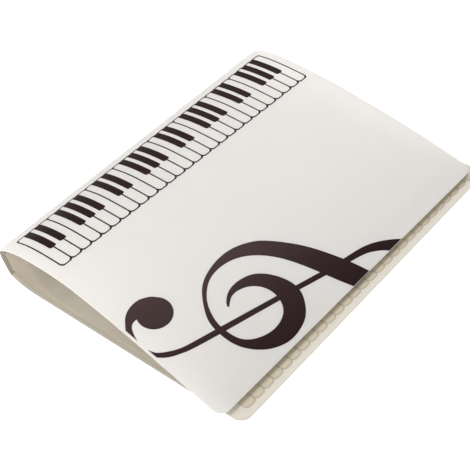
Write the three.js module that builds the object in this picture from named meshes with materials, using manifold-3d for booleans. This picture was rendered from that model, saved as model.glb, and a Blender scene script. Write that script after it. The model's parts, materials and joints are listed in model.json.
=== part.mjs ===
// A music folder for A4 sheets: one soft plastic sheet folded twice, with clear pockets welded to its spine.
// It is closed and lies on its back cover. X runs from the spine to the fore-edge, Y up the page, Z up.
// Millimetres. On a sheet, "along" is the distance from its crease, "up" the distance from its bottom edge
// and "above" the distance from its outer face.

import * as THREE from 'three';
import { mergeVertices } from 'three/addons/utils/BufferGeometryUtils.js';
import Module from 'manifold-3d';

const manifold = await Module();
manifold.setup();

// Sheet
const sheetThickness = 0.8;
const pageHeight = 310;
const coverWidth = 243;
const spineWidth = 25;
const cornerRadius = 9;
const clearance = 0.3;

// Closed shape: the spine leans outward over the back crease and bows a little
const backCreaseX = 4.5;
const backCreaseHeight = 6.5;
const backCurlLength = 24.5;
const spineLean = THREE.MathUtils.degToRad(11.5);
const spineBow = 1.2;

// Front cover: its slope, in degrees, at these shares of its width, at its bottom and top ends.
// The bottom end stands more open than the top one.
const bendShares = [0, 0.04, 0.08, 0.15, 0.21, 0.29, 0.42, 0.62, 1];
const bottomSlopes = [44, 29, 20, 10, 3, 1, -11, -15.5, -19.5];
const topSlopes = [40, 21, 6, 1, -3, -4, -8.5, -10, -16];
const foreEdgeHeight = 5;
const creaseDrop = 1;
const foreEdgeDrop = 6;

// Where the sheets are divided so that they can bend
const bendsPerShare = 2;
const curlBends = 5;
const spineBends = 8;
const rowCount = 6;
const foldRatio = 0.01;
const coverCornerSteps = 8;
const weldDistance = 1e-5;

// Pockets
const leafWidth = 216;
const leafHeight = 304;
const weldHeight = 17;
const weldStart = 3;
const bundleThickness = 4.5;
const bundleReach = 11;
const bundleShoulder = 26;
const bundleFoot = 50;
const bundleRise = 0.5;
const bundleSag = 2.5;
const footSwell = 4;
const tailSwell = 2;
const bundleSteps = 24;

// Print
const inkThickness = 0.3;
const inkMargin = 2;
const inkBleed = 0.3;

// Keyboard strip on the front cover: whole octaves of seven white keys
const octaves = 4;
const whitePitch = 10.35;
const keyboardAlong = 16.5;
const keyboardUp = 11.4;
const whiteLength = 57.5;
const whiteRadius = 3.2;
const lineWidth = 1;
const blackLength = 35.5;
const blackWidth = 6.6;
const blackRadius = 1.8;
const blackGaps = [1, 2, 4, 5, 6];
const whitesInOctave = 7;
const keyCornerSteps = 3;

// Clef, measured from a centre that is set off from the fore-edge
const clefFromForeEdge = 43;
const clefUp = 80;
const ballCentre = [-46.5, -52.8];
const ballRadii = [13.2, 14.2];
const hookOuter = [
  [-50, -39.4], [-57, -43], [-61, -49], [-62.8, -54], [-62.8, -60], [-61.6, -65.2], [-58.8, -70.5],
  [-54.2, -75], [-46, -82],
];
const hookInner = [
  [-48, -50], [-50.6, -60], [-51.9, -66.2], [-51.5, -70.2], [-49.2, -73.4], [-45.3, -75.7], [-40, -77.8],
  [-30, -80],
];
const tailLeft = [[-36, -81], [-31, -78.5], [-25.6, -77], [-21.1, -73.7], [-13.5, -61.5], [-9.3, -45]];
const stemLeft = [
  ...tailLeft, [7.1, 22], [11.5, 39.5], [17, 61.5], [22, 83], [25.3, 101.5], [31.2, 115.7], [41.7, 130.1],
  [50, 137],
];
const tailRight = [[-26, -82], [-20, -77.9], [-14.2, -72], [-9.6, -62], [-5.3, -49.3]];
const stemRight = [
  ...tailRight, [11.2, 20.6], [15.8, 38.4], [21.8, 62], [27.5, 85.4], [31.3, 100], [36.5, 108.6],
  [42.1, 114.9], [50, 121],
];
const loopOuter = [
  [50, 91.5], [42.4, 89], [28.1, 85.4], [9, 78.4], [-10.2, 69.6], [-31.4, 54], [-39.3, 43.9], [-45.5, 28.9],
  [-45.9, 11.5], [-41.4, -5.6], [-33.5, -16.9], [-18, -29], [-7.6, -32], [3.7, -32.5], [15.9, -30],
  [27.2, -22], [34.2, -12.7], [38.9, 1.2], [36.2, 18.3], [29.8, 28.5], [19, 37], [8, 38.8], [-4.7, 34.9],
  [-14.3, 28.2], [-19.7, 20.6], [-22.3, 9.6], [-21.4, -0.9], [-16.4, -9], [-12.8, -11.6],
];
const loopInner = [
  [50, 72.5], [35.3, 66.7], [21.9, 62.4], [1.3, 55.6], [-15.6, 47.8], [-29, 37], [-37.3, 23.9], [-40, 9.5],
  [-37.9, -3.9], [-30.9, -14.3], [-23.9, -20.7], [-14.4, -25.4], [-5.3, -27.5], [7.9, -26.4], [16.8, -21.1],
  [22.8, -9.2], [24, 2.9], [20, 14.2], [13, 19.8], [4.5, 21.9], [-3.8, 20.6], [-11.8, 14.9], [-16.2, 6.2],
  [-16.8, -2.6], [-12.6, -9.4], [-11.6, -10.8],
];
const strokeSteps = 4;
const smoothingPasses = 4;
const ballSteps = 36;

// Materials
const sheetMaterial = new THREE.MeshStandardMaterial({ color: 0xe6e3de, roughness: 0.55, metalness: 0 });
const filmMaterial = new THREE.MeshStandardMaterial({ color: 0xc4b9a0, roughness: 0.3, metalness: 0 });
const inkMaterial = new THREE.MeshStandardMaterial({ color: 0x36272a, roughness: 0.45, metalness: 0 });

// Creases, as points of the section
const backCrease = new THREE.Vector2(backCreaseX, backCreaseHeight);
const spineUp = new THREE.Vector2(-Math.sin(spineLean), Math.cos(spineLean));
const frontCrease = backCrease.clone().addScaledVector(spineUp, spineWidth);
const hingeMargin = sheetThickness + clearance;

// Solids and triangles

function solidOf(geometry) {
  geometry.deleteAttribute('normal');
  geometry.deleteAttribute('uv');
  const welded = mergeVertices(geometry, weldDistance);
  return new manifold.Manifold(new manifold.Mesh({
    numProp: 3,
    vertProperties: new Float32Array(welded.attributes.position.array),
    triVerts: new Uint32Array(welded.index.array),
  }));
}

// Cuts a flat solid into strips across one axis.
function strips(solid, axis, cuts) {
  const normal = [0, 1, 2].map((i) => (i === axis ? 1 : 0));
  const parts = [];
  let rest = solid;
  for (const at of cuts) {
    const [beyond, before] = rest.splitByPlane(normal, at);
    parts.push(before);
    rest = beyond;
  }
  return [...parts, rest].filter((part) => !part.isEmpty());
}

// The height of a surface that has a faint fold at each cut
function foldHeight(value, cuts) {
  return cuts.reduce((height, at) => height + foldRatio * Math.max(value - at, 0), 0);
}

function moved(vertices, place) {
  const result = new Float32Array(vertices.length);
  for (let i = 0; i < vertices.length; i += 3) {
    result.set(place(...vertices.slice(i, i + 3)), i);
  }
  return result;
}

// Bends a flat solid. Its cells, between the columns and rows, are joined with a faint fold at each cut,
// so that the joined solid keeps its corners there. Then the folds are taken out again, and each corner
// goes where "place" puts it on the curved sheet.
function bent(solid, columns, rows, place) {
  const fold = (along, up) => foldHeight(along, columns) + foldHeight(up, rows);
  const cells = strips(solid, 0, columns).flatMap((strip) => strips(strip, 1, rows)).map((cell) => {
    const { vertProperties, triVerts } = cell.getMesh();
    const folded = moved(vertProperties, (along, up, above) => [along, up, above + fold(along, up)]);
    return new manifold.Manifold(new manifold.Mesh({ numProp: 3, vertProperties: folded, triVerts }));
  });
  const { vertProperties, triVerts } = manifold.Manifold.union(cells).getMesh();
  const placed = moved(vertProperties, (along, up, above) => (
    place(along, up, above - fold(along, up)).toArray()
  ));
  const geometry = new THREE.BufferGeometry();
  geometry.setAttribute('position', new THREE.BufferAttribute(placed, 3));
  geometry.setIndex(new THREE.BufferAttribute(triVerts, 1));
  geometry.computeVertexNormals();
  return geometry;
}

function meshOf(name, geometry, material) {
  const mesh = new THREE.Mesh(geometry, material);
  mesh.name = name;
  return mesh;
}

function slab(shape, thickness, above, curveSegments = keyCornerSteps) {
  const geometry = new THREE.ExtrudeGeometry(shape, { depth: thickness, bevelEnabled: false, curveSegments });
  return solidOf(geometry.translate(0, 0, above));
}

// A block that reaches well through the sheet and its print
function block(fromAlong, toAlong, fromUp, toUp) {
  const height = 4 * (sheetThickness + inkThickness);
  const geometry = new THREE.BoxGeometry(toAlong - fromAlong, toUp - fromUp, height);
  return solidOf(geometry.translate((fromAlong + toAlong) / 2, (fromUp + toUp) / 2, 0));
}

// An oblong with square corners towards the crease and rounded ones at its far end.
function oblong(near, far, bottom, top, radius) {
  const shape = new THREE.Shape();
  shape.moveTo(near, bottom);
  shape.lineTo(far - radius, bottom);
  shape.absarc(far - radius, bottom + radius, radius, -Math.PI / 2, 0);
  shape.lineTo(far, top - radius);
  shape.absarc(far - radius, top - radius, radius, 0, Math.PI / 2);
  shape.lineTo(near, top);
  return shape;
}

// A cover before it bends, with rounded corners at its fore-edge
function flatCover(above) {
  const outline = oblong(hingeMargin, coverWidth, 0, pageHeight, cornerRadius);
  return slab(outline, sheetThickness, above, coverCornerSteps);
}

// Front cover: circular arcs from slope to slope, turned so that the fore-edge has its height

function walkSlopes(slopes, along) {
  const point = new THREE.Vector2(0, 0);
  let slope = THREE.MathUtils.degToRad(slopes[0]);
  for (let i = 1; i < slopes.length; i += 1) {
    const start = bendShares[i - 1] * coverWidth;
    const length = bendShares[i] * coverWidth - start;
    const bend = THREE.MathUtils.degToRad(slopes[i] - slopes[i - 1]) / length;
    const run = THREE.MathUtils.clamp(along - start, 0, length);
    const middle = slope + bend * run / 2;
    const chord = bend === 0 ? run : 2 * Math.sin(bend * run / 2) / bend;
    point.x += chord * Math.cos(middle);
    point.y += chord * Math.sin(middle);
    slope += bend * run;
  }
  return { point, slope };
}

function frontSection(slopes) {
  const end = walkSlopes(slopes, coverWidth).point;
  const turn = Math.asin((foreEdgeHeight - frontCrease.y) / end.length()) - end.angle();
  return (along, above) => {
    const { point, slope } = walkSlopes(slopes, along);
    const normal = new THREE.Vector2(-Math.sin(slope), Math.cos(slope));
    return point.addScaledVector(normal, above).rotateAround(new THREE.Vector2(), turn).add(frontCrease);
  };
}

const bottomSection = frontSection(bottomSlopes);
const topSection = frontSection(topSlopes);

// The front cover sits a little lower on the page than the back one, the more so at its fore-edge.
function onFrontCover(along, up, above) {
  const section = bottomSection(along, above).lerp(topSection(along, above), up / pageHeight);
  return new THREE.Vector3(section.x, up - creaseDrop - foreEdgeDrop * along / coverWidth, section.y);
}

function frontColumns() {
  const shares = bendShares.slice(1).flatMap((share, i) => {
    const step = (share - bendShares[i]) / bendsPerShare;
    return Array.from({ length: bendsPerShare }, (_, k) => bendShares[i] + (k + 1) * step);
  });
  return shares.slice(0, -1).map((share) => share * coverWidth);
}

const frontRows = Array.from({ length: rowCount - 1 }, (_, i) => (i + 1) * pageHeight / rowCount);

function onFront(name, solid, material) {
  return meshOf(name, bent(solid, frontColumns(), frontRows, onFrontCover), material);
}

// Back cover: it curls down from its crease along a parabola and then lies flat

const curlArc = backCurlLength * (1 + 2 / 3 * (backCreaseHeight / backCurlLength) ** 2);

function backSection(along, above) {
  const share = Math.min(along / curlArc, 1);
  const fall = 2 * backCreaseHeight / backCurlLength * (1 - share);
  const height = backCreaseHeight * (1 - share) ** 2;
  const reach = share * backCurlLength + Math.max(along - curlArc, 0);
  const normal = new THREE.Vector2(fall, 1).normalize();
  return new THREE.Vector2(backCrease.x + reach, height).addScaledVector(normal, above);
}

function backCover() {
  const columns = Array.from({ length: curlBends }, (_, i) => (i + 1) * curlArc / curlBends);
  const onBackCover = (along, up, above) => {
    const section = backSection(along, above);
    return new THREE.Vector3(section.x, up, section.y);
  };
  return meshOf('back_cover', bent(flatCover(0), columns, [], onBackCover), sheetMaterial);
}

// Spine: a shallow arc between the two creases

function spineShape() {
  const outward = new THREE.Vector2(-Math.cos(spineLean), -Math.sin(spineLean));
  const face = (inset) => (share) => backCrease.clone()
    .addScaledVector(spineUp, share * spineWidth)
    .addScaledVector(outward, 4 * spineBow * share * (1 - share) - inset);
  const shares = Array.from({ length: spineBends + 1 }, (_, i) => i / spineBends);
  return new THREE.Shape([...shares.map(face(0)), ...shares.map(face(sheetThickness)).reverse()]);
}

// A section in X and Z, drawn out along Y
function alongPage(shape, length, from) {
  const geometry = new THREE.ExtrudeGeometry(shape, { depth: length, bevelEnabled: false });
  return geometry.rotateX(Math.PI / 2).translate(0, from + length, 0);
}

// Pockets: fanned out at their weld to the spine, pressed together from the bundle's foot on

function pocketShape() {
  const inward = new THREE.Vector2(Math.cos(spineLean), Math.sin(spineLean));
  const weldFace = (height) => backCrease.clone()
    .addScaledVector(spineUp, height)
    .addScaledVector(inward, sheetThickness + clearance);
  const rest = sheetThickness + clearance;
  const weldTop = weldFace(weldStart + weldHeight);
  const upperFace = new THREE.SplineCurve([
    weldTop,
    new THREE.Vector2(weldTop.x + bundleReach, weldTop.y + bundleRise),
    new THREE.Vector2(bundleShoulder, weldTop.y - bundleSag),
    new THREE.Vector2((bundleShoulder + bundleFoot) / 2, (weldTop.y + bundleThickness) / 2),
    new THREE.Vector2(bundleFoot, bundleThickness + footSwell),
    new THREE.Vector2(1.5 * bundleFoot, bundleThickness + tailSwell),
    new THREE.Vector2(backCrease.x + leafWidth, rest + bundleThickness),
  ]);
  const curl = Array.from({ length: curlBends }, (_, i) => backSection((1 - i / curlBends) * curlArc, rest));
  return new THREE.Shape([
    ...upperFace.getPoints(bundleSteps),
    new THREE.Vector2(backCrease.x + leafWidth, rest),
    ...curl,
    weldFace(weldStart),
  ]);
}

// Keyboard

function keyboardSolid() {
  const half = lineWidth / 2;
  const heel = keyboardAlong;
  const tip = keyboardAlong + whiteLength;
  const solids = [];
  const windows = [];
  const windowDepth = 3 * inkThickness;
  for (let key = 0; key < octaves * whitesInOctave; key += 1) {
    const bottom = keyboardUp + key * whitePitch;
    const top = bottom + whitePitch;
    const outer = oblong(heel - half, tip + half, bottom - half, top + half, whiteRadius);
    const inner = oblong(heel + half, tip - half, bottom + half, top - half, whiteRadius);
    solids.push(slab(outer, inkThickness, clearance));
    windows.push(slab(inner, windowDepth, clearance - inkThickness));
  }
  const outlines = manifold.Manifold.union(solids).subtract(manifold.Manifold.union(windows));
  const blacks = [];
  for (let octave = 0; octave < octaves; octave += 1) {
    for (const gap of blackGaps) {
      const middle = keyboardUp + (octave * whitesInOctave + gap) * whitePitch;
      const [bottom, top] = [middle - blackWidth / 2, middle + blackWidth / 2];
      blacks.push(slab(oblong(heel, heel + blackLength, bottom, top, blackRadius), inkThickness, clearance));
    }
  }
  return outlines.add(manifold.Manifold.union(blacks));
}

// Clef: three brush strokes and a ball, cut off at the margin and at the fore-edge

function clefPoints(points) {
  return points.map(([x, y]) => new THREE.Vector2(coverWidth - clefFromForeEdge + x, clefUp + y));
}

// A curve through the points, with the faint corners that the spline keeps at them evened out
function smoothEdge(points) {
  let line = new THREE.SplineCurve(clefPoints(points)).getPoints(strokeSteps * (points.length - 1));
  for (let pass = 0; pass < smoothingPasses; pass += 1) {
    line = line.map((point, i) => (i === 0 || i === line.length - 1
      ? point
      : line[i - 1].clone().add(line[i + 1]).lerp(point.clone().multiplyScalar(2), 0.5).divideScalar(2)));
  }
  return line;
}

function stroke(oneEdge, otherEdge) {
  const outline = [...smoothEdge(oneEdge), ...smoothEdge(otherEdge).reverse()];
  return slab(new THREE.Shape(outline), inkThickness, clearance);
}

function ball() {
  const [centre] = clefPoints([ballCentre]);
  const shape = new THREE.Shape().absellipse(centre.x, centre.y, ...ballRadii, 0, 2 * Math.PI, false);
  const points = shape.getPoints(ballSteps).slice(0, -1);
  return slab(new THREE.Shape(points), inkThickness, clearance);
}

function clipped(solid) {
  return solid.intersect(block(hingeMargin, coverWidth - inkBleed, inkMargin, pageHeight - inkMargin));
}

// The folder

function buildFolder() {
  const folder = new THREE.Group();
  const clef = stroke(stemLeft, stemRight).add(stroke(loopOuter, loopInner));
  const clefHook = ball().add(stroke(hookOuter, hookInner));
  const leafMargin = (pageHeight - leafHeight) / 2;
  folder.add(
    meshOf('spine', alongPage(spineShape(), pageHeight, 0), sheetMaterial),
    meshOf('pocket_leaves', alongPage(pocketShape(), leafHeight, leafMargin), filmMaterial),
    backCover(),
    onFront('front_cover', flatCover(-sheetThickness), sheetMaterial),
    onFront('front_keyboard_print', keyboardSolid(), inkMaterial),
    onFront('front_clef_print', clipped(clef), inkMaterial),
    onFront('front_clef_hook_print', clipped(clefHook), inkMaterial),
  );
  return folder;
}

// The origin is under the middle of the closed folder
function centred(group) {
  const box = new THREE.Box3().setFromObject(group);
  const centre = box.getCenter(new THREE.Vector3());
  group.position.set(-centre.x, -centre.y, -box.min.z);
  return new THREE.Group().add(group);
}

export default centred(buildFolder());
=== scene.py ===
"""A soft plastic music folder, closed and lying on its back cover.

Lengths are millimetres until a point is placed; the scene itself is in metres, in the part's own frame.
On a sheet, "along" is the distance from its crease, "up" the height on the page and "above" the distance
from its outer face.
"""

import json
import math
import random

import bmesh
import bpy
from mathutils import Matrix, Vector


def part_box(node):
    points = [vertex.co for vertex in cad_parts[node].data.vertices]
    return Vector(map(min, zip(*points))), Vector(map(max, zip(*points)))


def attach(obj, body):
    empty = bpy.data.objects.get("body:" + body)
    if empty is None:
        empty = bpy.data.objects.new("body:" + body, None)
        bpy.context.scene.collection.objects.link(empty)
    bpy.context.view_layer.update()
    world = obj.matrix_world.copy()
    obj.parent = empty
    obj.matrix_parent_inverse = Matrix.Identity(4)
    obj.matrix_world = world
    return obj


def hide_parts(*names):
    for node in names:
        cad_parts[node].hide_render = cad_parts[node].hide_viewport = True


MM = 0.001
TOUCHING = 1e-6
CUT_REACH = 1e-5
STRAIGHT = 1e-9

# Materials of a panel, and of the leaves, by their place in the list
CUT_EDGE = 1
INNER_FACE = 2
LEAF_END = 1

# Sheet
SHEET = 0.8
COVER_WIDTH = 243.0
CORNER_RADIUS = 9.0
EDGE_ROUND = 0.2
SHEET_CORNER_SEGMENTS = 10
HINGE_THICKNESS = 0.25
HINGE_TAPER = 2.2
TAPER_SHARES = (0.3, 0.6, 1)
STEP_ALONG = 3.0
STEP_UP = 10.0
SMOOTH_BELOW = 35
RIM_ANGLE = 1.2

# Front cover: its slope in degrees at these shares of its width, at its bottom and top ends
BEND_SHARES = [0, 0.04, 0.08, 0.15, 0.21, 0.29, 0.42, 0.62, 1]
BOTTOM_SLOPES = [44, 29, 20, 10, 3, 1, -11, -15.5, -19.5]
TOP_SLOPES = [40, 21, 6, 1, -3, -4, -8.5, -10, -16]
FORE_EDGE_HEIGHT = 5.0
CREASE_DROP = 1.0
FORE_EDGE_DROP = 6.0

# Back cover and spine
BACK_CURL = 24.5
SPINE_BOW = 1.2

# Print
INK_LIFT = 0.01
INK = 0.05
CUTTER = 5 * INK
CUTTER_LIFT = -2 * INK
FLOOR_GAP = INK + 2 * INK_LIFT
INK_MARGIN = 2.0
INK_BLEED = 0.2
WHITE_KEYS = 28
OCTAVE = 7
WHITE_PITCH = 10.35
WHITE_LENGTH = 57.5
WHITE_RADIUS = 3.2
HEEL_RADIUS = 2.4
KEY_LINE = 1.2
KEYBOARD_ALONG = 16.5
KEYBOARD_UP = 11.4
BLACK_LENGTH = 35.5
BLACK_WIDTH = 6.6
BLACK_RADIUS = 1.8
BLACK_GAPS = [1, 2, 4, 5, 6]

# Print on the underside of the back cover, and how its lines show through; the faces of its keys are
# darkened with painted shade, for the shade under the front cover
BACK_PRINT_INSET = 6.0
GHOST_RADIUS = 3.4
GHOST_LINE = 0.75
KEY_PAINTED_SHADE = (0.86, 0.81, 0.70)
LINE_SHADE = (0.40, 0.34, 0.25)

# Clef, measured from a centre that is set off from the fore-edge
CLEF_CENTRE = (COVER_WIDTH - 43, 80)
BALL_CENTRE = (-46.5, -52.8)
BALL_RADII = (13.2, 14.2)
HOOK_OUTER = [(-50, -39.4), (-57, -43), (-61, -49), (-62.8, -54), (-62.8, -60), (-61.6, -65.2),
              (-58.8, -70.5), (-54.2, -75), (-46, -82)]
HOOK_INNER = [(-48, -50), (-50.6, -60), (-51.9, -66.2), (-51.5, -70.2), (-49.2, -73.4), (-45.3, -75.7),
              (-40, -77.8), (-30, -80)]
STEM_LEFT = [(-36, -81), (-31, -78.5), (-25.6, -77), (-21.1, -73.7), (-13.5, -61.5), (-9.3, -45), (7.1, 22),
             (11.5, 39.5), (17, 61.5), (22, 83), (25.3, 101.5), (31.2, 115.7), (41.7, 130.1), (50, 137)]
STEM_RIGHT = [(-26, -82), (-20, -77.9), (-14.2, -72), (-9.6, -62), (-5.3, -49.3), (11.2, 20.6), (15.8, 38.4),
              (21.8, 62), (27.5, 85.4), (31.3, 100), (36.5, 108.6), (42.1, 114.9), (50, 121)]
LOOP_OUTER = [(50, 91.5), (42.4, 89), (28.1, 85.4), (9, 78.4), (-10.2, 69.6), (-31.4, 54), (-39.3, 43.9),
              (-45.5, 28.9), (-45.9, 11.5), (-41.4, -5.6), (-33.5, -16.9), (-18, -29), (-7.6, -32),
              (3.7, -32.5), (15.9, -30), (27.2, -22), (34.2, -12.7), (38.9, 1.2), (36.2, 18.3),
              (29.8, 28.5), (19, 37), (8, 38.8), (-4.7, 34.9), (-14.3, 28.2), (-19.7, 20.6), (-22.3, 9.6),
              (-21.4, -0.9), (-16.4, -9), (-12.8, -11.6)]
LOOP_INNER = [(50, 72.5), (35.3, 66.7), (21.9, 62.4), (1.3, 55.6), (-15.6, 47.8), (-29, 37), (-37.3, 23.9),
              (-40, 9.5), (-37.9, -3.9), (-30.9, -14.3), (-23.9, -20.7), (-14.4, -25.4), (-5.3, -27.5),
              (7.9, -26.4), (16.8, -21.1), (22.8, -9.2), (24, 2.9), (20, 14.2), (13, 19.8), (4.5, 21.9),
              (-3.8, 20.6), (-11.8, 14.9), (-16.2, 6.2), (-16.8, -2.6), (-12.6, -9.4), (-11.6, -10.8)]
STROKE_STEPS = 6
SMOOTHING_PASSES = 9
BALL_SEGMENTS = 72

# Pockets
LEAF_COUNT = 26
LEAF_SEED = 7
LEAF = 0.09
LEAF_WIDTH = 216.0
LEAF_HEIGHT = 304.0
WELD_START = 3.0
WELD_HEIGHT = 17.0
WELD_GAP = 0.3
PILE_GAP = 0.4
PILE_THICKNESS = 4.5

# Sheet finish
SHEET_ROUGHNESS = 0.42
MOTTLE_SHADE = 0.965

# Room
WORLD_LIGHT = 0.62
FLOOR_GREY = 0.82
FLOOR_LIFT = 0.62

# Camera, fitted to the photograph; its target is measured from the table corner that the spine leans over
IMAGE = 470
SENSOR = 36
CORNER_INSET = 4.5
FOCAL_PIXELS = 1084.82
CENTRE_PIXELS = (31.36, 23.63)
CAMERA_AZIMUTH = 45.45
CAMERA_ELEVATION = 45.05
CAMERA_ROLL = -8.34
CAMERA_DISTANCE = 835.77
CAMERA_TARGET = (165.08, 124.87, 10.0)


# Frame

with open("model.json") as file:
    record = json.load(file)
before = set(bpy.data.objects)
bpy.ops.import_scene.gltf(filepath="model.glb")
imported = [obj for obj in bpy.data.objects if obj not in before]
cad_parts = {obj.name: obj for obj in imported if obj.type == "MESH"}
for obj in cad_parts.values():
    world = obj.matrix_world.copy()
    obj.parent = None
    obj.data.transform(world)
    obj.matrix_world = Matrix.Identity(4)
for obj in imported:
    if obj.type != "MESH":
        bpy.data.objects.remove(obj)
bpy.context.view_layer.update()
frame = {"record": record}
spine_low, spine_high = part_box("spine")
JOINTS = {joint["name"]: Vector(joint["pos_m"]) / MM for joint in frame["record"]["behaviour"]["joints"]}
FRONT_CREASE = JOINTS["front_cover_fold"]
BACK_CREASE = JOINTS["back_cover_fold"]
PAGE_BOTTOM = spine_low[1] / MM
PAGE_HEIGHT = (spine_high[1] - spine_low[1]) / MM
SPINE_WIDTH = (FRONT_CREASE - BACK_CREASE).length
SPINE_UP = (FRONT_CREASE - BACK_CREASE).normalized()
SPINE_OUT = Vector((-SPINE_UP.z, 0, SPINE_UP.x))


# Curved sheets

def walk_slopes(slopes, along):
    """Where a walk along a cover ends, and the slope there; the slope changes evenly between the shares."""
    x = z = 0.0
    slope = math.radians(slopes[0])
    for i in range(1, len(slopes)):
        start = BEND_SHARES[i - 1] * COVER_WIDTH
        length = BEND_SHARES[i] * COVER_WIDTH - start
        bend = math.radians(slopes[i] - slopes[i - 1]) / length
        run = min(max(along - start, 0), length)
        middle = slope + bend * run / 2
        chord = run if abs(bend) < STRAIGHT else 2 * math.sin(bend * run / 2) / bend
        x += chord * math.cos(middle)
        z += chord * math.sin(middle)
        slope += bend * run
    return x, z, slope


def front_section(slopes):
    """The front cover's section with these slopes, turned so that its fore-edge is at its height."""
    end_x, end_z, _ = walk_slopes(slopes, COVER_WIDTH)
    fall = math.asin((FORE_EDGE_HEIGHT - FRONT_CREASE.z) / math.hypot(end_x, end_z))
    turn = Matrix.Rotation(fall - math.atan2(end_z, end_x), 2)

    def section(along, above):
        x, z, slope = walk_slopes(slopes, along)
        return turn @ Vector((x - above * math.sin(slope), z + above * math.cos(slope)))
    return section


bottom_section = front_section(BOTTOM_SLOPES)
top_section = front_section(TOP_SLOPES)


def on_front(along, up, above):
    """A point on the front cover, between its bottom and top sections, which also slides down the page."""
    section = bottom_section(along, above).lerp(top_section(along, above), up / PAGE_HEIGHT)
    drop = CREASE_DROP + FORE_EDGE_DROP * along / COVER_WIDTH
    return Vector((FRONT_CREASE.x + section.x, PAGE_BOTTOM + up - drop, FRONT_CREASE.z + section.y)) * MM


# The length along the sheet of the curl, a parabola from the crease down to the table
CURL_ARC = BACK_CURL * (1 + 2 / 3 * (BACK_CREASE.z / BACK_CURL) ** 2)


def back_section(along, above):
    """The back cover's section: the curl beside the crease, and flat from its end on."""
    share = min(along / CURL_ARC, 1)
    fall = 2 * BACK_CREASE.z / BACK_CURL * (1 - share)
    height = BACK_CREASE.z * (1 - share) ** 2
    reach = share * BACK_CURL + max(along - CURL_ARC, 0)
    return Vector((BACK_CREASE.x + reach, height)) + Vector((fall, 1)).normalized() * above


def on_back(along, up, above):
    section = back_section(along, above)
    return Vector((section.x, PAGE_BOTTOM + up, section.y)) * MM


def on_spine(along, up, above):
    """A point on the spine, along from the back crease, which bows outwards in the middle."""
    share = along / SPINE_WIDTH
    bow = 4 * SPINE_BOW * share * (1 - share)
    point = BACK_CREASE + SPINE_UP * along + SPINE_OUT * (bow - above)
    return Vector((point.x, PAGE_BOTTOM + up, point.z)) * MM


# Mesh helpers

def new_object(name, bm):
    mesh = bpy.data.meshes.new(name)
    bm.to_mesh(mesh)
    bm.free()
    piece = bpy.data.objects.new(name, mesh)
    bpy.context.scene.collection.objects.link(piece)
    return piece


def cut_lines(bm, axis, places):
    """Cuts a flat piece across one axis at each place, so that it can bend there."""
    normal = [1.0 if i == axis else 0.0 for i in range(3)]
    for place in places:
        at = [place if i == axis else 0.0 for i in range(3)]
        everything = bm.verts[:] + bm.edges[:] + bm.faces[:]
        bmesh.ops.bisect_plane(bm, geom=everything, dist=CUT_REACH, plane_co=at, plane_no=normal)


def steps(first, last, size):
    """The places that divide a length into equal steps of about this size, without its ends."""
    count = max(1, round((last - first) / size))
    return [first + (last - first) * i / count for i in range(1, count)]


def oblong(bm, near, far, bottom, top, near_radius, far_radius, segments=6):
    """A flat oblong with round corners: near and far are along the sheet, bottom and top up the page."""
    corners = [bm.verts.new((x, y, 0)) for x, y in ((near, bottom), (far, bottom), (far, top), (near, top))]
    bm.faces.new(corners)
    for picked, radius in ((corners[1:3], far_radius), ((corners[0], corners[3]), near_radius)):
        if radius > 0:
            bmesh.ops.bevel(bm, geom=list(picked), offset=radius, offset_type='OFFSET', affect='VERTICES',
                            segments=segments, profile=0.5, material=-1)


def thicken(bm, thickness):
    """Makes a closed slab of a flat face."""
    flat = bm.faces[:]
    lifted = bmesh.ops.extrude_face_region(bm, geom=flat, use_keep_orig=True)
    verts = [item for item in lifted["geom"] if isinstance(item, bmesh.types.BMVert)]
    bmesh.ops.translate(bm, verts=verts, vec=(0, 0, thickness))
    bmesh.ops.recalc_face_normals(bm, faces=bm.faces)


def place_verts(bm, where):
    for vert in bm.verts:
        vert.co = where(*vert.co)


def smooth(piece):
    for polygon in piece.data.polygons:
        polygon.use_smooth = True
    piece.data.set_sharp_from_angle(angle=math.radians(SMOOTH_BELOW))


# Sheet panels

def thickness_at(along, far_crease):
    """The thickness of the sheet, which thins towards the crease at 0 and the one at far_crease."""
    near = min(1, along / HINGE_TAPER)
    far = 1 if far_crease is None else min(1, (far_crease - along) / HINGE_TAPER)
    return HINGE_THICKNESS + (SHEET - HINGE_THICKNESS) * min(near, far)


def is_rim(edge, width, far_crease):
    """Whether an edge runs round one face of a panel and lies on no crease."""
    ends = [vert.co for vert in edge.verts]
    if not edge.is_manifold or edge.calc_face_angle() < RIM_ANGLE:
        return False
    if abs(ends[0].z - ends[1].z) > TOUCHING:
        return False
    on_crease = max(ends[0].x, ends[1].x) < TOUCHING
    on_far_crease = far_crease is not None and min(ends[0].x, ends[1].x) > width - TOUCHING
    return not on_crease and not on_far_crease


def sheet_panel(name, width, radius, where, far_crease=None, outer=0.0, inward=-1, inner_material=0):
    """One panel of the folded sheet, with rounded cut edges and a thinned crease."""
    bm = bmesh.new()
    oblong(bm, 0, width, 0, PAGE_HEIGHT, 0, radius, segments=SHEET_CORNER_SEGMENTS)
    thicken(bm, SHEET)
    rims = [edge for edge in bm.edges if is_rim(edge, width, far_crease)]
    bmesh.ops.bevel(bm, geom=rims, offset=EDGE_ROUND, affect='EDGES', segments=2, profile=0.5, material=-1)
    cut_lines(bm, 0, [HINGE_TAPER * share for share in TAPER_SHARES] + steps(HINGE_TAPER, width, STEP_ALONG))
    if far_crease is not None:
        cut_lines(bm, 0, [width - HINGE_TAPER * share for share in TAPER_SHARES])
    cut_lines(bm, 1, steps(0, PAGE_HEIGHT, STEP_UP))
    for face in bm.faces:
        if abs(face.normal.z) < 0.5 and face.calc_center_median().x > HINGE_TAPER:
            face.material_index = CUT_EDGE
        elif face.normal.z > 0.5:
            face.material_index = inner_material

    def bend(along, up, height):
        depth = height / SHEET * thickness_at(along, far_crease)
        return where(along, up, outer + inward * depth)
    place_verts(bm, bend)
    bmesh.ops.recalc_face_normals(bm, faces=bm.faces)
    piece = new_object(name, bm)
    smooth(piece)
    return piece


# Materials

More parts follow.
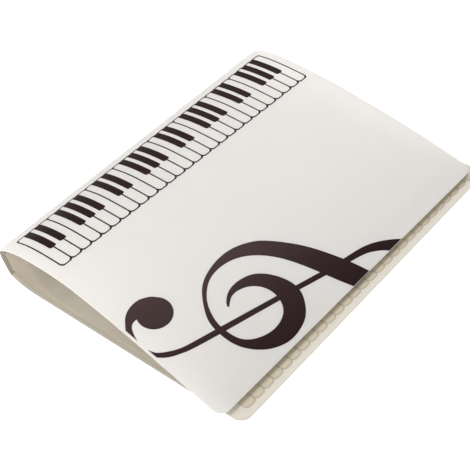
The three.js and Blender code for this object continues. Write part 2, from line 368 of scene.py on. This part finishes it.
def node_tools(material):
    """An empty node tree, with short ways to add a node, link two and work out a value."""
    tree = material.node_tree
    tree.nodes.clear()

    def add(kind, **values):
        node = tree.nodes.new(kind)
        for socket, value in values.items():
            node.inputs[socket].default_value = value
        return node

    def link(source, target):
        tree.links.new(source, target)

    def math_node(operation, first, second=None, third=None):
        node = tree.nodes.new('ShaderNodeMath')
        node.operation = operation
        for socket, value in zip(node.inputs, (first, second, third)):
            if value is None:
                continue
            if isinstance(value, (int, float)):
                socket.default_value = value
            else:
                link(value, socket)
        return node.outputs[0]
    return tree, add, link, math_node


def mix_colour(tree, mask, first, second):
    """Blends two colours by a mask; each is a written colour or a node's output."""
    node = tree.nodes.new('ShaderNodeMix')
    node.data_type = 'RGBA'
    tree.links.new(mask, node.inputs[0])
    for socket, value in ((node.inputs[6], first), (node.inputs[7], second)):
        if isinstance(value, tuple):
            socket.default_value = (*value, 1)
        else:
            tree.links.new(value, socket)
    return node.outputs[2]


def sheet_material(name, colour, through, translucent=0.42, ghost_and_key_shade=False):
    """Sand-matt polypropylene: faintly mottled, finely grained, and letting some light through."""
    material = bpy.data.materials.new(name)
    material.use_nodes = True
    tree, add, link, math_node = node_tools(material)
    place = add('ShaderNodeTexCoord').outputs['Object']
    mottle = add('ShaderNodeTexNoise', Scale=22.0, Detail=3.0)
    link(place, mottle.inputs['Vector'])
    grain = add('ShaderNodeTexNoise', Scale=1900.0, Detail=2.0)
    link(place, grain.inputs['Vector'])
    waves = add('ShaderNodeTexNoise', Scale=9.0, Detail=1.0)
    link(place, waves.inputs['Vector'])
    darker = tuple(MOTTLE_SHADE * value for value in colour)
    tint = mix_colour(tree, mottle.outputs['Fac'], darker, colour)
    if ghost_and_key_shade:
        # The lines are the print showing through; the key faces get painted shade, for the shade under the
        # front cover.
        on_line, painted_key_shade = ghost_lines_and_key_shade(place, tree, math_node)
        for mask, shade in ((painted_key_shade, KEY_PAINTED_SHADE), (on_line, LINE_SHADE)):
            shaded = tuple(value * share for value, share in zip(colour, shade))
            tint = mix_colour(tree, mask, tint, shaded)
    shader = add('ShaderNodeBsdfPrincipled', IOR=1.49)
    link(tint, shader.inputs['Base Color'])
    link(math_node('MULTIPLY_ADD', grain.outputs['Fac'], 0.16, SHEET_ROUGHNESS), shader.inputs['Roughness'])
    fine = add('ShaderNodeBump', Strength=0.28, Distance=0.00008)
    link(grain.outputs['Fac'], fine.inputs['Height'])
    broad = add('ShaderNodeBump', Strength=0.35, Distance=0.0012)
    link(waves.outputs['Fac'], broad.inputs['Height'])
    link(fine.outputs['Normal'], broad.inputs['Normal'])
    link(broad.outputs['Normal'], shader.inputs['Normal'])
    glow = add('ShaderNodeBsdfTranslucent')
    glow.inputs['Color'].default_value = (*through, 1)
    blend = add('ShaderNodeMixShader')
    blend.inputs[0].default_value = translucent
    link(shader.outputs[0], blend.inputs[1])
    link(glow.outputs[0], blend.inputs[2])
    output = add('ShaderNodeOutputMaterial')
    link(blend.outputs[0], output.inputs['Surface'])
    return material


def ghost_lines_and_key_shade(place, tree, math_node):
    """The keys printed on the far side: a mask of their lines as they show through, and a mask of painted
    shade over their faces, for the shade under the front cover.
    """
    split = tree.nodes.new('ShaderNodeSeparateXYZ')
    tree.links.new(place, split.inputs[0])
    fore_edge = (BACK_CREASE.x + BACK_CURL + COVER_WIDTH - CURL_ARC) * MM
    tips = fore_edge - BACK_PRINT_INSET * MM
    from_tip = math_node('MULTIPLY', math_node('SUBTRACT', tips, split.outputs['X']), 1 / MM)
    keys = math_node('DIVIDE', math_node('SUBTRACT', split.outputs['Y'], (PAGE_BOTTOM + KEYBOARD_UP) * MM),
                     WHITE_PITCH * MM)
    centred = math_node('MULTIPLY', math_node('SUBTRACT', math_node('FRACT', keys), 0.5), WHITE_PITCH)
    across = math_node('MAXIMUM', math_node('SUBTRACT', math_node('ABSOLUTE', centred),
                                            WHITE_PITCH / 2 - GHOST_RADIUS), 0.0)
    endways = math_node('MAXIMUM', math_node('SUBTRACT', GHOST_RADIUS, from_tip), 0.0)
    reach = math_node('SQRT', math_node('ADD', math_node('MULTIPLY', across, across),
                                        math_node('MULTIPLY', endways, endways)))
    past = math_node('SUBTRACT', reach, GHOST_RADIUS)
    line = math_node('SUBTRACT', 1.0, math_node('DIVIDE', math_node('ABSOLUTE', past), GHOST_LINE))
    in_row = math_node('MULTIPLY', math_node('GREATER_THAN', keys, 0.0),
                       math_node('LESS_THAN', keys, WHITE_KEYS))
    in_row = math_node('MULTIPLY', in_row, math_node('LESS_THAN', from_tip, WHITE_LENGTH))
    # Painted shade over the faces of the keys.
    painted_key_shade = math_node('MULTIPLY', math_node('LESS_THAN', past, 0.0), in_row)
    return math_node('MULTIPLY', math_node('MAXIMUM', line, 0.0), in_row), painted_key_shade


def ink_material():
    """Screen-printed ink: a brown black with a satin face that keeps the sheet's grain."""
    material = bpy.data.materials.new("brown_black_ink")
    material.use_nodes = True
    tree, add, link, math_node = node_tools(material)
    place = add('ShaderNodeTexCoord').outputs['Object']
    grain = add('ShaderNodeTexNoise', Scale=1500.0, Detail=2.0)
    link(place, grain.inputs['Vector'])
    tint = mix_colour(tree, grain.outputs['Fac'], (0.007, 0.0020, 0.0022), (0.012, 0.0040, 0.0044))
    shader = add('ShaderNodeBsdfPrincipled', IOR=1.5)
    shader.inputs['Specular IOR Level'].default_value = 0.11
    shader.inputs['Specular Tint'].default_value = (1.0, 0.66, 0.66, 1)
    link(tint, shader.inputs['Base Color'])
    link(math_node('MULTIPLY_ADD', grain.outputs['Fac'], 0.12, 0.3), shader.inputs['Roughness'])
    bump = add('ShaderNodeBump', Strength=0.35, Distance=0.00008)
    link(grain.outputs['Fac'], bump.inputs['Height'])
    link(bump.outputs['Normal'], shader.inputs['Normal'])
    output = add('ShaderNodeOutputMaterial')
    link(shader.outputs[0], output.inputs['Surface'])
    return material


def film_material(name, darker, lighter):
    """Pocket film: thin and smooth, and cloudy where many layers lie together."""
    material = bpy.data.materials.new(name)
    material.use_nodes = True
    tree, add, link, _ = node_tools(material)
    place = add('ShaderNodeTexCoord').outputs['Object']
    layered = add('ShaderNodeMapping')
    layered.inputs['Scale'].default_value = (1, 0.4, 16)
    link(place, layered.inputs['Vector'])
    streaks = add('ShaderNodeTexNoise', Scale=50.0, Detail=2.0)
    link(layered.outputs['Vector'], streaks.inputs['Vector'])
    tint = mix_colour(tree, streaks.outputs['Fac'], darker, lighter)
    shader = add('ShaderNodeBsdfPrincipled', IOR=1.49, Roughness=0.3)
    link(tint, shader.inputs['Base Color'])
    glow = add('ShaderNodeBsdfTranslucent')
    glow.inputs['Color'].default_value = (0.9, 0.85, 0.75, 1)
    blend = add('ShaderNodeMixShader')
    blend.inputs[0].default_value = 0.45
    link(shader.outputs[0], blend.inputs[1])
    link(glow.outputs[0], blend.inputs[2])
    output = add('ShaderNodeOutputMaterial')
    link(blend.outputs[0], output.inputs['Surface'])
    return material


# Print

def boolean(base, other, operation):
    """Joins or cuts a flat piece with another and deletes the other."""
    modifier = base.modifiers.new("join", 'BOOLEAN')
    modifier.object = other
    modifier.operation = operation
    modifier.solver = 'EXACT'
    modifier.use_self = True
    evaluated = base.evaluated_get(bpy.context.evaluated_depsgraph_get())
    mesh = bpy.data.meshes.new_from_object(evaluated)
    base.modifiers.clear()
    base.data = mesh
    bpy.data.objects.remove(other)
    return base


def flat_piece(name, draw, thickness=INK, lift=INK_LIFT):
    """A flat slab of each outline that draw puts in the mesh."""
    bm = bmesh.new()
    draw(bm)
    thicken(bm, thickness)
    bmesh.ops.translate(bm, verts=bm.verts, vec=(0, 0, lift))
    return new_object(name, bm)


def keyboard(name, heel):
    """A row of keys with its heel, the side of the black keys, at a distance from the crease."""
    half = KEY_LINE / 2
    tip = heel + WHITE_LENGTH

    def outlines(bm):
        for key in range(WHITE_KEYS):
            bottom = KEYBOARD_UP + key * WHITE_PITCH
            oblong(bm, heel - half, tip + half, bottom - half, bottom + WHITE_PITCH + half, HEEL_RADIUS,
                   WHITE_RADIUS)

    def windows(bm):
        for key in range(WHITE_KEYS):
            bottom = KEYBOARD_UP + key * WHITE_PITCH
            oblong(bm, heel + half, tip - half, bottom + half, bottom + WHITE_PITCH - half, HEEL_RADIUS,
                   WHITE_RADIUS)

    def blacks(bm):
        for octave in range(WHITE_KEYS // OCTAVE):
            for gap in BLACK_GAPS:
                middle = KEYBOARD_UP + (octave * OCTAVE + gap) * WHITE_PITCH
                oblong(bm, heel, heel + BLACK_LENGTH, middle - BLACK_WIDTH / 2, middle + BLACK_WIDTH / 2, 0,
                       BLACK_RADIUS)
    board = flat_piece(name, outlines)
    board = boolean(board, flat_piece("windows", windows, CUTTER, CUTTER_LIFT), 'DIFFERENCE')
    return boolean(board, flat_piece("blacks", blacks), 'UNION')


def smooth_line(points):
    """A smooth curve through all the points, with the same number of steps between each two."""
    line = [Vector(points[0])]
    for i in range(len(points) - 1):
        before = Vector(points[max(i - 1, 0)])
        start = Vector(points[i])
        end = Vector(points[i + 1])
        after = Vector(points[min(i + 2, len(points) - 1)])
        for step in range(1, STROKE_STEPS + 1):
            t = step / STROKE_STEPS
            leave = (end - before) / 2
            arrive = (after - start) / 2
            line.append((2 * t**3 - 3 * t**2 + 1) * start + (t**3 - 2 * t**2 + t) * leave
                        + (3 * t**2 - 2 * t**3) * end + (t**3 - t**2) * arrive)
    return line


def evened(line):
    """The same curve with the faint corners at its given points evened out."""
    for _ in range(SMOOTHING_PASSES):
        inner = [(before + 2 * point + after) / 4 for before, point, after in zip(line, line[1:], line[2:])]
        line = [line[0], *inner, line[-1]]
    return line


def stroke(name, one_edge, other_edge):
    """A flat pen stroke between two smooth edges."""
    def outline(bm):
        points = evened(smooth_line(one_edge)) + evened(smooth_line(other_edge))[::-1]
        bm.faces.new([bm.verts.new((CLEF_CENTRE[0] + x, CLEF_CENTRE[1] + y, 0)) for x, y in points])
    return flat_piece(name, outline)


def ball():
    """The round end of the clef's hook."""
    def outline(bm):
        bmesh.ops.create_circle(bm, cap_ends=True, segments=BALL_SEGMENTS, radius=1)
        bmesh.ops.scale(bm, verts=bm.verts, vec=(*BALL_RADII, 1))
        centre = (CLEF_CENTRE[0] + BALL_CENTRE[0], CLEF_CENTRE[1] + BALL_CENTRE[1], 0)
        bmesh.ops.translate(bm, verts=bm.verts, vec=centre)
    return flat_piece("clef_ball", outline)


def within_print_area(piece):
    """Crops a print at the fore-edge and at the margins of the page."""
    def area(bm):
        oblong(bm, 0, COVER_WIDTH - INK_BLEED, INK_MARGIN, PAGE_HEIGHT - INK_MARGIN, 0, 0)
    return boolean(piece, flat_piece("area", area, CUTTER, CUTTER_LIFT), 'INTERSECT')


def laid_on_cover(piece, where):
    """Bends a flat print to the cover."""
    bm = bmesh.new()
    bm.from_mesh(piece.data)
    cut_lines(bm, 0, steps(HINGE_TAPER, COVER_WIDTH, STEP_ALONG))
    cut_lines(bm, 1, steps(0, PAGE_HEIGHT, STEP_UP))
    bmesh.ops.triangulate(bm, faces=bm.faces)
    place_verts(bm, where)
    bmesh.ops.recalc_face_normals(bm, faces=bm.faces)
    bm.to_mesh(piece.data)
    bm.free()
    smooth(piece)
    return piece


# Pockets

def leaf_line(share, wander):
    """The section of one leaf, from weld to fore-edge; share is its place in the pack, 1 at the top."""
    weld = BACK_CREASE + SPINE_UP * (WELD_START + WELD_HEIGHT * share) - SPINE_OUT * (SHEET + WELD_GAP)
    start = Vector((weld.x, weld.z))
    lying = SHEET + PILE_GAP + PILE_THICKNESS * share
    return [
        start,
        start + Vector((5 + 3 * share, 0.5 * share + wander[0])),
        Vector((BACK_CREASE.x + 10 + 14 * share, start.y * (0.55 + 0.36 * share) + wander[1])),
        Vector((BACK_CREASE.x + 24 + 8 * share, lying + (start.y - lying) * (0.1 + 0.45 * share))),
        Vector((BACK_CREASE.x + 46, lying + 3.2 * share)),
        Vector((BACK_CREASE.x + 75, lying + 1.6 * share)),
        Vector((BACK_CREASE.x + 140, lying + 0.3 * share)),
        Vector((BACK_CREASE.x + LEAF_WIDTH + wander[2], lying)),
    ]


def leaves():
    """The pack of pocket films, welded along the spine and pressed flat towards the fore-edge."""
    chance = random.Random(LEAF_SEED)
    bm = bmesh.new()
    for leaf in range(LEAF_COUNT):
        share = min(max((leaf + chance.uniform(-0.45, 0.45)) / (LEAF_COUNT - 1), 0), 1)
        wander = [chance.uniform(-0.9, 0.6), chance.uniform(-1.1, 0.8), chance.uniform(-1.5, 0.5)]
        low = PAGE_BOTTOM + (PAGE_HEIGHT - LEAF_HEIGHT) / 2 + chance.uniform(-0.4, 0.4)
        line = smooth_line(leaf_line(share, wander))
        verts = [bm.verts.new((point.x * MM, low * MM, point.y * MM)) for point in line]
        edges = [bm.edges.new(pair) for pair in zip(verts, verts[1:])]
        sheet = bmesh.ops.extrude_edge_only(bm, edges=edges)
        far = [item for item in sheet["geom"] if isinstance(item, bmesh.types.BMVert)]
        bmesh.ops.translate(bm, verts=far, vec=(0, LEAF_HEIGHT * MM, 0))
    bmesh.ops.recalc_face_normals(bm, faces=bm.faces)
    bmesh.ops.solidify(bm, geom=bm.faces[:], thickness=LEAF * MM)
    bmesh.ops.recalc_face_normals(bm, faces=bm.faces)
    for face in bm.faces:
        if abs(face.normal.y) > 0.9:
            face.material_index = LEAF_END
    piece = new_object("pocket_leaves_film", bm)
    smooth(piece)
    return piece


# Room

def place_camera():
    azimuth, elevation, roll = (math.radians(v) for v in (CAMERA_AZIMUTH, CAMERA_ELEVATION, CAMERA_ROLL))
    back = Vector((math.sin(azimuth) * math.cos(elevation), -math.cos(azimuth) * math.cos(elevation),
                   math.sin(elevation)))
    level_right = Vector((math.cos(azimuth), math.sin(azimuth), 0))
    level_up = back.cross(level_right)
    right = level_right * math.cos(roll) + level_up * math.sin(roll)
    up = level_up * math.cos(roll) - level_right * math.sin(roll)
    origin = Vector((BACK_CREASE.x - CORNER_INSET, PAGE_BOTTOM, 0))
    eye = (origin + Vector(CAMERA_TARGET) + back * CAMERA_DISTANCE) * MM
    data = bpy.data.cameras.new("camera")
    data.sensor_width = SENSOR
    data.lens = data.sensor_width * FOCAL_PIXELS / IMAGE
    data.shift_x = -CENTRE_PIXELS[0] / IMAGE
    data.shift_y = CENTRE_PIXELS[1] / IMAGE
    camera = bpy.data.objects.new("camera", data)
    camera.matrix_world = Matrix.Translation(eye) @ Matrix((right, up, back)).transposed().to_4x4()
    bpy.context.scene.collection.objects.link(camera)
    bpy.context.scene.camera = camera


def lamp(name, place, size, watts):
    """A square lamp that faces the middle of the folder."""
    data = bpy.data.lights.new(name, 'AREA')
    data.shape = 'SQUARE'
    data.size = size
    data.energy = watts
    light = bpy.data.objects.new(name, data)
    light.location = place
    light.rotation_euler = (-Vector(place)).to_track_quat('-Z', 'Y').to_euler()
    bpy.context.scene.collection.objects.link(light)


def build_room():
    scene = bpy.context.scene
    scene.view_settings.view_transform = 'Standard'
    world = bpy.data.worlds.new("studio")
    scene.world = world
    world.use_nodes = True
    tree = world.node_tree
    background = tree.nodes['Background']
    strength = tree.nodes.new('ShaderNodeMapRange')
    tree.links.new(tree.nodes.new('ShaderNodeLightPath').outputs['Is Camera Ray'], strength.inputs['Value'])
    strength.inputs['To Min'].default_value = WORLD_LIGHT
    strength.inputs['To Max'].default_value = 1.0
    background.inputs['Color'].default_value = (1, 1, 1, 1)
    tree.links.new(strength.outputs[0], background.inputs['Strength'])
    bm = bmesh.new()
    bmesh.ops.create_grid(bm, x_segments=1, y_segments=1, size=3)
    floor = new_object("floor", bm)
    material = bpy.data.materials.new("white_floor")
    material.use_nodes = True
    tree, add, link, _ = node_tools(material)
    matt = add('ShaderNodeBsdfDiffuse')
    matt.inputs['Color'].default_value = (FLOOR_GREY, FLOOR_GREY, FLOOR_GREY, 1)
    lift = add('ShaderNodeEmission')
    link(add('ShaderNodeLightPath').outputs['Is Camera Ray'], lift.inputs['Strength'])
    lift.inputs['Color'].default_value = (FLOOR_LIFT, FLOOR_LIFT, FLOOR_LIFT, 1)
    both = add('ShaderNodeAddShader')
    link(matt.outputs[0], both.inputs[0])
    link(lift.outputs[0], both.inputs[1])
    output = add('ShaderNodeOutputMaterial')
    link(both.outputs[0], output.inputs['Surface'])
    floor.data.materials.append(material)
    lamp("key", place=(-0.3, 0.5, 1.1), size=0.55, watts=11.0)
    lamp("fill", place=(1.0, -0.6, 0.75), size=1.2, watts=4.5)
    lamp("opening_fill", place=(-0.55, -1.1, 0.3), size=0.9, watts=12.0)


# Folder

def dress(piece, body, slot, materials, *nodes):
    """Gives a piece its materials, its body and the CAD nodes that it stands for; its slot is not used."""
    for material in materials:
        piece.data.materials.append(material)
    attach(piece, body)
    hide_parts(*nodes)


def build_folder():
    white = sheet_material("matt_white_sheet", (0.81, 0.803, 0.793), (0.9, 0.875, 0.84), translucent=0.5)
    # Painted shade: the back cover is the same sheet as the front, coloured darker and warmer for the shade
    # and the light bounced from the pockets inside the folder.
    back_painted_shade = sheet_material("back_sheet_painted_shade", (0.76, 0.722, 0.65), (0.8, 0.76, 0.66), ghost_and_key_shade=True)
    # Painted shade: the cut edges of the back cover and the spine are coloured darker than the sheet.
    edge_painted_shade = sheet_material("cut_edge_painted_shade", (0.54, 0.51, 0.43), (0.8, 0.76, 0.66), translucent=0.4)
    # Painted highlight: the front cover's cut edge is coloured brighter than the sheet, for the light caught
    # along its rim.
    edge = sheet_material("cut_edge_painted_highlight", (0.93, 0.91, 0.85), (0.95, 0.92, 0.84), translucent=0.4)
    ink = ink_material()
    front = sheet_panel("front_cover_sheet", COVER_WIDTH, CORNER_RADIUS, on_front)
    dress(front, "front_cover", "sheet", (white, edge), "front_cover")
    back = sheet_panel("back_cover_sheet", COVER_WIDTH, CORNER_RADIUS, on_back, outer=FLOOR_GAP, inward=1)
    dress(back, "back_cover", "sheet", (back_painted_shade, edge_painted_shade), "back_cover")
    spine = sheet_panel("spine_sheet", SPINE_WIDTH, 0, on_spine, far_crease=SPINE_WIDTH, inward=1,
                        inner_material=INNER_FACE)
    shaded = sheet_material("shaded_spine_inside", (0.42, 0.40, 0.33), (0.6, 0.57, 0.48), translucent=0.25)
    dress(spine, "spine", "sheet", (white, edge_painted_shade, shaded), "spine")
    film = film_material("pocket_film", (0.72, 0.67, 0.58), (0.92, 0.88, 0.80))
    # Painted shade: the pack's cut ends are coloured darker than the film, for the shade in the opening
    # under the front cover.
    film_ends_painted_shade = film_material("pocket_film_ends_painted_shade", (0.40, 0.36, 0.27), (0.84, 0.78, 0.68))
    dress(leaves(), "spine", "pocket_film", (film, film_ends_painted_shade), "pocket_leaves")
    board = laid_on_cover(keyboard("front_keyboard_ink", KEYBOARD_ALONG), on_front)
    dress(board, "front_cover", "ink", (ink,), "front_keyboard_print")
    heel = COVER_WIDTH - BACK_PRINT_INSET - WHITE_LENGTH
    dress(laid_on_cover(keyboard("back_keyboard_ink", heel), on_back), "back_cover", "ink", (ink,))
    stem = stroke("clef_ink", STEM_LEFT, STEM_RIGHT)
    clef = boolean(stem, stroke("clef_loop", LOOP_OUTER, LOOP_INNER), 'UNION')
    clef = laid_on_cover(within_print_area(clef), on_front)
    dress(clef, "front_cover", "ink", (ink,), "front_clef_print")
    hook = boolean(ball(), stroke("clef_hook", HOOK_OUTER, HOOK_INNER), 'UNION')
    hook = laid_on_cover(within_print_area(hook), on_front)
    hook.name = "clef_hook_ink"
    dress(hook, "front_cover", "ink", (ink,), "front_clef_hook_print")


build_room()
place_camera()
build_folder()
